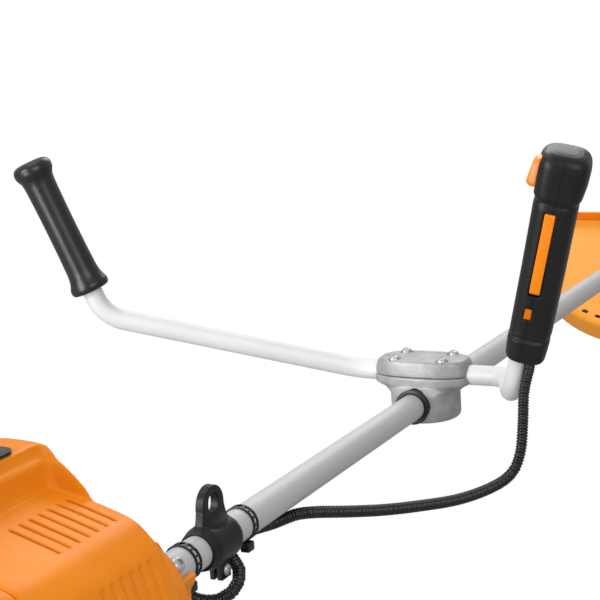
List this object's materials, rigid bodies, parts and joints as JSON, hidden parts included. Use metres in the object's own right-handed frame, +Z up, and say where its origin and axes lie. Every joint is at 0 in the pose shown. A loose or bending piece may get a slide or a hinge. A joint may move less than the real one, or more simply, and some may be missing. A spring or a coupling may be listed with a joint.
{
  "type": "string trimmer",
  "caption": "Petrol string trimmer with a straight shaft, bicycle handlebar, harness eyelet, guarded line head and rear engine.",
  "frame": {"origin": "on the ground, on the flat underside of the engine's stand, under the shaft axis and the clutch end of the engine", "axes": "+Y forward along the level shaft to the line head, +X to the operator's right, +Z up"},
  "size_m": [0.5809, 1.8506, 0.4154],
  "materials": {
    "orange_plastic": "moulded, slightly glossy",
    "orange_paint": "painted casting",
    "satin_aluminium": "satin tube",
    "cast_aluminium": "die cast",
    "bright_screw": "bright plated",
    "steel": "machined",
    "tank_plastic": "translucent white",
    "ceramic": "white ceramic",
    "black_rubber": "matte",
    "black_plastic": "fine texture"
  },
  "bodies": {
    "frame": {"air_filter_cover": "black_plastic", "carburettor": "cast_aluminium", "clamp_base": "cast_aluminium", "clamp_bush": "black_rubber", "clamp_cap": "cast_aluminium", "clamp_screw_front_left": "bright_screw", "clamp_screw_front_right": "bright_screw", "clamp_screw_rear_left": "bright_screw", "clamp_screw_rear_right": "bright_screw", "clutch_housing": "orange_paint", "conduit_strap_front": "black_plastic", "conduit_strap_rear": "black_plastic", "connecting_rod": "steel", "crankcase": "cast_aluminium", "cylinder": "cast_aluminium", "engine_shroud": "orange_plastic", "fan_housing": "black_plastic", "fuel_tank": "tank_plastic", "gearbox_housing": "cast_aluminium", "guard": "orange_plastic", "guard_bracket": "black_plastic", "handlebar": "satin_aluminium", "hanger_bolt": "bright_screw", "harness_hanger": "black_plastic", "left_grip": "black_rubber", "line_cutter": "steel", "muffler": "steel", "piston": "cast_aluminium", "plug_cap": "black_rubber", "shaft_bush": "black_rubber", "shaft_tube": "satin_aluminium", "spark_plug": "ceramic", "stand": "black_plastic", "starter_housing": "orange_plastic", "starter_rope": "black_rubber", "throttle_conduit": "black_plastic", "throttle_shell_left": "black_plastic", "throttle_shell_right": "black_plastic", "tube_clamp_screw": "bright_screw"},
    "trigger": {"throttle_trigger": "orange_plastic"},
    "lockout": {"lockout_lever": "orange_plastic"},
    "switch": {"stop_switch": "orange_plastic"},
    "cam": {"throttle_cam": "steel"},
    "choke": {"choke_lever": "orange_plastic"},
    "bulb": {"primer_bulb": "black_rubber"},
    "fuel_cap": {"fuel_cap": "black_plastic"},
    "pulley": {"starter_pulley": "black_plastic"},
    "pull": {"starter_handle": "black_plastic"},
    "crank": {"crankshaft": "steel", "flywheel": "cast_aluminium"},
    "shoe_right": {"clutch_shoe_right": "steel"},
    "shoe_left": {"clutch_shoe_left": "steel"},
    "drive": {"clutch_drum": "steel", "drive_shaft": "steel", "pinion_gear": "steel"},
    "head": {"output_shaft": "steel", "head_housing": "black_plastic", "line_end_right": "black_plastic", "line_end_left": "black_plastic"},
    "knob": {"bump_knob": "black_plastic"}
  },
  "joints": [
    {"name": "throttle", "type": "hinge", "parent": "frame", "child": "trigger", "pos_m": [0.17092, 0.53377, 0.38464], "axis": [-0.9455, -0.2218, 0.2385], "range_deg": [0, 14], "stiffness_Nm_per_rad": 0.05},
    {"name": "carburettor_cam", "type": "hinge", "parent": "frame", "child": "cam", "pos_m": [-0.059, -0.034, 0.2], "axis": [0, 1, 0], "range_deg": [0, 70]},
    {"name": "throttle_lockout", "type": "hinge", "parent": "frame", "child": "lockout", "pos_m": [0.16858, 0.50184, 0.35323], "axis": [0.9455, 0.2218, -0.2385], "range_deg": [0, 2.8], "stiffness_Nm_per_rad": 0.05},
    {"name": "stop", "type": "hinge", "parent": "frame", "child": "switch", "pos_m": [0.15786, 0.50607, 0.39096], "axis": [-0.1697, 0.9605, 0.2204], "range_deg": [0, 10]},
    {"name": "choke", "type": "hinge", "parent": "frame", "child": "choke", "pos_m": [-0.076, -0.0974, 0.2], "axis": [0, 1, 0], "range_deg": [0, 60]},
    {"name": "primer", "type": "slide", "parent": "frame", "child": "bulb", "axis": [0, 0, 1], "range_m": [0, 0.004], "stiffness_N_per_m": 400},
    {"name": "fuel_cap_turn", "type": "hinge", "parent": "frame", "child": "fuel_cap", "pos_m": [0.042, -0.004, 0.085], "axis": [0, 0, 1], "range_deg": [0, 90]},
    {"name": "starter_spin", "type": "hinge", "parent": "frame", "child": "pulley", "pos_m": [0, -0.123, 0.15], "axis": [0, 1, 0], "range_deg": [0, 1146]},
    {"name": "starter_pull", "type": "slide", "parent": "frame", "child": "pull", "axis": [1, 0, 0], "range_m": [0, 0.6]},
    {"name": "crank_spin", "type": "hinge", "parent": "frame", "child": "crank", "pos_m": [0, -0.056, 0.15], "axis": [0, 1, 0], "continuous": true},
    {"name": "shoe_right_out", "type": "slide", "parent": "crank", "child": "shoe_right", "axis": [1, 0, 0], "range_m": [0, 0.0004], "stiffness_N_per_m": 800},
    {"name": "shoe_left_out", "type": "slide", "parent": "crank", "child": "shoe_left", "axis": [-1, 0, 0], "range_m": [0, 0.0004], "stiffness_N_per_m": 800},
    {"name": "drive_spin", "type": "hinge", "parent": "frame", "child": "drive", "pos_m": [0, 0.6, 0.15], "axis": [0, 1, 0], "continuous": true},
    {"name": "head_spin", "type": "hinge", "parent": "frame", "child": "head", "pos_m": [0, 1.622, 0.15], "axis": [0, -0.5, 0.866], "continuous": true},
    {"name": "bump", "type": "slide", "parent": "head", "child": "knob", "axis": [0, -0.5, 0.866], "range_m": [0, 0.005], "stiffness_N_per_m": 900}
  ],
  "couplings": [
    {"joint": "carburettor_cam", "follows": "throttle", "ratio": 5},
    {"joint": "starter_pull", "follows": "starter_spin", "m_per_rad": 0.029998},
    {"joint": "shoe_left_out", "follows": "shoe_right_out", "ratio": 1},
    {"joint": "head_spin", "follows": "drive_spin", "ratio": 0.75}
  ]
}
